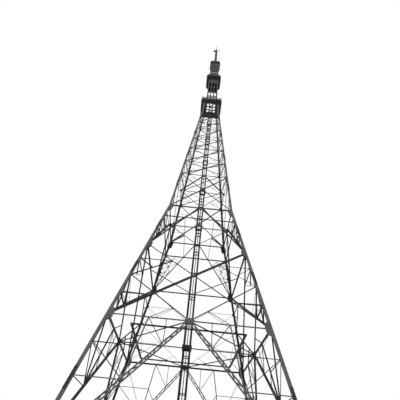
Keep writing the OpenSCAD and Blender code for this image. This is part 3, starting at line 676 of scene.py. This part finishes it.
def feeders():
    """Feeder cables clipped along the inside of the shaft's left rear corner bar."""
    lo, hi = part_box("shaft_front_rear")
    radius, pitch, spaces = 0.004, 0.0105, 26
    face, y0 = lo[0] + CHORD, hi[1] - 0.032
    front = face + 2 * radius
    clip_t, clip_h, margin = 0.002, 0.006, 0.006
    cables, clips = Piece(), Piece()
    for i in range(3):
        at = (face + radius, y0 + i * pitch)
        cables.bar((*at, lo[2]), (*at, hi[2]), round_outline(radius, 10), DEEP)
    for k in range(1, spaces):
        z = lo[2] + k * (hi[2] - lo[2]) / spaces
        clips.box((front, y0 - margin, z - clip_h), (front + clip_t, y0 + 2 * pitch + margin, z + clip_h))
        for i in (0.5, 1.5):
            y = y0 + i * pitch
            clips.box((face, y - 0.001, z - 0.005), (front, y + 0.001, z + 0.005))
            clips.bolt((front + clip_t, y, z), ACROSS, 0.0022, 0.003)
    cables.make("feeder_cables", "cable", "shaft_steel")
    clips.make("feeder_clips", "zinc", "fitting_steel")


def gratings():
    """Bar grating on top of each gallery's floor, outside the mast."""
    step, bar, high, gap, margin = 0.02, 0.0022, 0.004, 0.002, 0.012
    holes = {"gallery1": LOWER_HALF, "gallery2": UPPER_HALF, "gallery3": 0.12}
    for name, hole in holes.items():
        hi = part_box(name + "_floor")[1]
        h, z = hi[0] - margin, hi[2]
        piece = Piece()
        for spacing, top, lengthwise in ((step, high, False), (3 * step, 0.7 * high, True)):
            count = int(h / spacing)
            for i in range(-count, count + 1):
                y = i * spacing
                reach = h - max(0.0, abs(y) - (h - CUT)) - gap
                spans = [(-reach, reach)]
                if abs(y) <= hole + bar:
                    spans = [(-reach, -hole - gap), (hole + gap, reach)]
                for a, b in spans:
                    p, q = (a, y - bar / 2, z), (b, y + bar / 2, z + top)
                    if lengthwise:
                        p, q = (p[1], p[0], p[2]), (q[1], q[0], q[2])
                    piece.box(p, q)
        piece.make(name + "_grating", "floor", "floor_steel")


def handrails():
    """Round hand rails, infill bars and toe boards on the gallery rails."""
    tube, infill = round_outline(0.006, 8), flat_outline(0.001, 0.001)
    board = [(-0.001, 0), (0.001, 0), (0.001, 0.02), (-0.001, 0.02)]
    inset, spacing = 0.006, 0.022
    for name in GALLERIES:
        lo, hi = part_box(name + "_rails")
        h, tube_z, board_z = hi[0] - 0.004, hi[2] + 0.003, lo[2] + 0.004
        ring = [Vector((x, y, 0)) for x, y in cut_outline(h, h - CUT)]
        piece = Piece()
        for a, b in zip(ring, ring[1:] + ring[:1]):
            piece.bar((a.x, a.y, tube_z), (b.x, b.y, tube_z), tube, UP)
            d = (b - a).normalized()
            inward = Vector((-d.y, d.x, 0)) * inset
            p, q = a + inward + d * inset, b + inward - d * inset
            piece.bar((p.x, p.y, board_z), (q.x, q.y, board_z), board, UP)
            count = max(2, int((q - p).length / spacing))
            for i in range(1, count):
                c = p.lerp(q, i / count)
                piece.bar((c.x, c.y, lo[2]), (c.x, c.y, hi[2]), infill, ACROSS)
        piece.make(name + "_handrails", "rail", "rail_steel")


def gallery_ribs():
    """Small ribs under the outer strip of each gallery's floor, and knee braces under the first one."""
    beams = {"gallery1": 0.33, "gallery2": LOWER_HALF + 0.018, "gallery3": UPPER_HALF + 0.018}
    rib, knee, spacing = angle_outline(0.01, 0.003), angle_outline(0.02, 0.005), 0.06
    for name, inner in beams.items():
        lo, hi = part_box(name + "_frame")
        h, z = hi[0], hi[2] - 0.006
        count = int((h - CUT) / spacing)
        piece = Piece()
        for side in range(4):
            for i in range(-count, count + 1):
                x = i * spacing
                piece.bar(turned(side, (x, -h + 0.016, z)), turned(side, (x, -inner, z)), rib, UP)
        if name == "gallery1":
            low = TOP_Z - 0.26
            for side in range(4):
                for x in (-half(low), half(low)):
                    foot = side_point(side, x, low, leg_w(low) / 2)
                    head = turned(side, (x, -h + 0.014, lo[2]))
                    piece.bar(foot, head, knee, turned(side, ACROSS))
        piece.make(name + "_ribs", "floor", "floor_steel")


def mast_plates():
    """Small bolted plates where the bars of the lattice mast cross."""
    rows, columns, thick, corner_bar = 5, 3, 0.003, 0.03
    for name, bar in (("lower", 0.052), ("upper", 0.084)):
        lo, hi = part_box("mast_%s_front_rear" % name)
        ring, spot = cut_outline(0.48 * bar, 0.3 * bar), 0.22 * bar
        under, top = -hi[0], -hi[0] - thick
        piece = Piece()
        for row in range(rows + 1):
            z = lo[2] + bar / 2 + row * (hi[2] - lo[2] - bar) / rows
            for side in range(4):
                wide = hi[0] if side % 2 == 0 else hi[0] - corner_bar
                for c in range(columns + 1):
                    x = -wide + bar / 2 + c * (2 * wide - bar) / columns
                    piece.loft([[turned(side, (x + u, y, z + v)) for u, v in ring] for y in (under, top)])
                    for u, v in CORNERS.values():
                        at = turned(side, (x + u * spot, top, z + v * spot))
                        piece.bolt(at, turned(side, (0, -1, 0)), 0.08 * bar, thick)
        piece.make("mast_plates_" + name, "mast", "mast_steel")


def pole_details():
    """Stiffening plates and bolts on the pole's flange, bands, climbing pegs and a cap."""
    lo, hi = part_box("pole")
    flange_r, r, foot = hi[0], 0.0725, lo[2] + 0.03
    bolt_circle, rib_out = (flange_r + r) / 2, flange_r - 0.012
    rib = [(r - 0.002, 0), (rib_out, 0), (rib_out, 0.012), (r + 0.006, 0.09), (r - 0.002, 0.09)]
    band = [(r, -0.016), (r + 0.004, -0.015), (r + 0.004, 0.015), (r, 0.016)]
    cap = [(r, 0), (r + 0.005, 0.002), (r + 0.005, 0.012), (r * 0.7, 0.018), (0.014, 0.021), (0.012, 0.05),
           (0.0085, 0.055)]
    peg, peg_step = round_outline(0.003, 6), 0.06
    piece = Piece()
    for i in range(8):
        t = math.radians(45 * i)
        d, n = Vector((math.cos(t), math.sin(t), 0)), Vector((-math.sin(t), math.cos(t), 0))
        piece.loft([[d * a + n * w + Vector((0, 0, foot + b)) for a, b in rib] for w in (-0.003, 0.003)])
        t += math.radians(22.5)
        piece.bolt((math.cos(t) * bolt_circle, math.sin(t) * bolt_circle, foot), UP, 0.008, 0.009)
    for z in (foot + 0.6, foot + 1.3, foot + 2.0, hi[2] - 0.2):
        piece.turned_form((0, 0, z), UP, band, 32)
        for s in (-1, 1):
            x = s * (r + 0.01)
            piece.box((x - 0.008, -0.006, z - 0.014), (x + 0.008, 0.006, z + 0.014))
            piece.bolt((s * (r + 0.012), -0.006, z), (0, -1, 0), 0.004, 0.004)
    for k in range(int((hi[2] - foot - 0.3) / peg_step)):
        s = 1 if k % 2 else -1
        z = foot + 0.15 + peg_step * k
        piece.bar((0, s * (r - 0.002), z), (0, s * (r + 0.022), z), peg, UP)
    piece.turned_form((0, 0, hi[2] - 0.012), UP, cap, 32)
    piece.make("pole_details", "pole", "pole_paint")


def drum_rims():
    """Rims, hub and bolts on the drum."""
    lo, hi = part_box("drum")
    y, z, r = (lo[1] + hi[1]) / 2, (lo[2] + hi[2]) / 2, (hi[2] - lo[2]) / 2
    rim = [(r - 0.002, 0), (r + 0.004, 0.002), (r + 0.004, 0.008), (r - 0.002, 0.01)]
    hub = [(0.03, 0), (0.028, 0.004), (0.012, 0.007)]
    piece = Piece()
    for x in (lo[0] + 0.02, hi[0] - 0.012):
        piece.turned_form((x, y, z), ACROSS, rim, 40)
    piece.turned_form((hi[0] - SINK, y, z), ACROSS, hub, 24)
    for a, b in round_outline(0.8 * r, 8):
        piece.bolt((hi[0], y + a, z + b), ACROSS, 0.004, 0.004)
    piece.make("drum_rims", "zinc", "fitting_steel")


def fork_tips():
    """The two tips of the forked arm."""
    lo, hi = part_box("fork_arm")
    return [Vector((lo[0] + 0.008, 0, z)) for z in (lo[2] + 0.006, hi[2] - 0.006)]


def fitting_ends():
    """Ends on the forked arm, the whip's base and collars on the lightning rod."""
    tip_end = [(0.008, -0.03), (0.012, -0.026), (0.012, -0.012), (0.007, -0.008), (0.007, 0.008),
               (0.012, 0.012), (0.012, 0.026), (0.008, 0.03)]
    base = [(0.022, 0), (0.022, 0.006), (0.012, 0.008), (0.016, 0.02), (0.012, 0.03), (0.015, 0.042),
            (0.011, 0.054), (0.007, 0.09)]
    collar = [(0.008, -0.02), (0.011, -0.016), (0.011, 0.016), (0.008, 0.02)]
    piece = Piece()
    for tip in fork_tips():
        piece.turned_form(tip, DEEP, tip_end, 20)
    whip = middle("whip")
    piece.turned_form((whip.x, whip.y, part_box("whip")[0][2]), UP, base, 24)
    lo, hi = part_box("lightning_rod")
    for share in (0.3, 0.6):
        piece.turned_form((0, 0, lo[2] + share * (hi[2] - lo[2])), UP, collar, 20)
    piece.make("fitting_ends", "zinc", "fitting_steel")


def fork_sleeves(piece):
    """Round sleeves on the stem and the two arms of the forked arm."""
    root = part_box("fork_arm")[1][0]
    fork = middle("fork_arm")
    fork.y = 0
    stem = root - fork.x
    piece.turned_form((root, 0, fork.z), (-1, 0, 0), [(0.026, 0), (0.026, stem), (0.02, stem + 0.004)], 20)
    for tip in fork_tips():
        arm = tip - fork
        piece.turned_form(fork, arm, [(0.018, 0), (0.018, arm.length), (0.012, arm.length + 0.003)], 20)


def outrigger_sleeves(piece):
    """Round sleeves along the bent rods at the first gallery's corners."""
    radius, bend, steps, tube = 0.24, math.radians(60), 10, 0.013
    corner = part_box("gallery1_floor")[1][0] - CUT
    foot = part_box("outriggers")[0][2]
    up = Vector(UP)
    for sx, sy in CORNERS.values():
        out = Vector((sx, sy, 0)).normalized()
        across = Vector((-out.y, out.x, 0))
        start = Vector((sx * corner, sy * corner, foot))
        rings = []
        for i in range(1, steps):
            t = bend * i / steps
            flank = out * math.cos(t) - up * math.sin(t)
            at = start + (up * math.sin(t) + out * (1 - math.cos(t))) * radius
            rings.append([at + across * a + flank * b for a, b in round_outline(tube, 12)])
        piece.loft(rings)


def top_rods(piece):
    """Sleeve on the lightning rod, and thin rods on the whip and on the end of the pole's arm."""
    lo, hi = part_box("lightning_rod")
    reach = 0.8 * (hi[2] - lo[2])
    sleeve = [(0.01, 0), (0.014, 0.004), (0.014, reach), (0.009, reach + 0.01)]
    piece.turned_form((0, 0, lo[2] + 0.06), UP, sleeve, 16)
    whip, whip_top = middle("whip"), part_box("whip")[1][2]
    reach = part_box("pole")[1][2] - 0.5 - whip_top
    rod = [(0.008, 0), (0.008, 0.1), (0.0055, 0.11), (0.0055, reach - 0.1), (0.019, reach - 0.09),
           (0.019, reach + 0.05), (0.008, reach + 0.06)]
    piece.turned_form((whip.x, whip.y, whip_top - 0.05), UP, rod, 12)
    arm, arm_end = middle("pole_arm"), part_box("pole_arm")[0][0]
    rod = [(0.014, 0), (0.014, 0.06), (0.009, 0.065), (0.009, 0.55), (0.005, 0.56)]
    piece.turned_form((arm_end + 0.014, arm.y, arm.z), UP, rod, 12)


def sleeves():
    """One piece: sleeves on the small fittings, and the thin rods at the top."""
    piece = Piece()
    fork_sleeves(piece)
    outrigger_sleeves(piece)
    top_rods(piece)
    piece.make("fitting_sleeves", "dull", "fitting_steel")


def set_light():
    """White sky where it is seen, a dimmer one where it lights the tower, and a soft sun."""
    world = bpy.data.worlds.new("world")
    bpy.context.scene.world = world
    world.use_nodes = True
    nt = world.node_tree
    nt.nodes.clear()
    out = nt.nodes.new("ShaderNodeOutputWorld")
    path = nt.nodes.new("ShaderNodeLightPath")
    seen = nt.nodes.new("ShaderNodeBackground")
    seen.inputs["Color"].default_value = (1, 1, 1, 1)
    seen.inputs["Strength"].default_value = 1.0
    light = nt.nodes.new("ShaderNodeBackground")
    light.inputs["Color"].default_value = (0.94, 0.97, 1, 1)
    light.inputs["Strength"].default_value = 0.6
    first = nt.nodes.new("ShaderNodeMath")
    first.operation = "MAXIMUM"
    second = nt.nodes.new("ShaderNodeMath")
    second.operation = "MAXIMUM"
    nt.links.new(path.outputs["Is Camera Ray"], first.inputs[0])
    nt.links.new(path.outputs["Is Glossy Ray"], first.inputs[1])
    nt.links.new(first.outputs[0], second.inputs[0])
    nt.links.new(path.outputs["Is Transmission Ray"], second.inputs[1])
    mix = nt.nodes.new("ShaderNodeMixShader")
    nt.links.new(second.outputs[0], mix.inputs[0])
    nt.links.new(light.outputs[0], mix.inputs[1])
    nt.links.new(seen.outputs[0], mix.inputs[2])
    nt.links.new(mix.outputs[0], out.inputs[0])
    sun = bpy.data.lights.new("sun", "SUN")
    sun.energy = 1.0
    sun.angle = 0.5
    obj = bpy.data.objects.new("sun", sun)
    obj.rotation_euler = (math.radians(26), math.radians(10), math.radians(-35))
    bpy.context.scene.collection.objects.link(obj)


def set_floor():
    """Pale round floor just under the feet."""
    mesh = bpy.data.meshes.new("ground")
    bm = bmesh.new()
    bmesh.ops.create_circle(bm, cap_ends=True, radius=60, segments=64)
    bm.to_mesh(mesh)
    bm.free()
    obj = bpy.data.objects.new("ground", mesh)
    bpy.context.scene.collection.objects.link(obj)
    obj.location.z = cad_box[0][2] - 0.002
    mat, _, bsdf = node_tree("ground")
    bsdf.inputs["Base Color"].default_value = (0.82, 0.82, 0.82, 1)
    bsdf.inputs["Roughness"].default_value = 0.9
    mesh.materials.append(mat)


set_camera()
dress_nodes()
joint_plates()
leg_splices()
leg_strips()
anchor_bolts()
fine_bracing()
portal_struts()
front_struts()
cross_struts()
chevron_struts()
ladder()
feeders()
gratings()
handrails()
gallery_ribs()
mast_plates()
pole_details()
drum_rims()
fitting_ends()
sleeves()
set_light()
set_floor()
bpy.context.scene.view_settings.view_transform = "Standard"
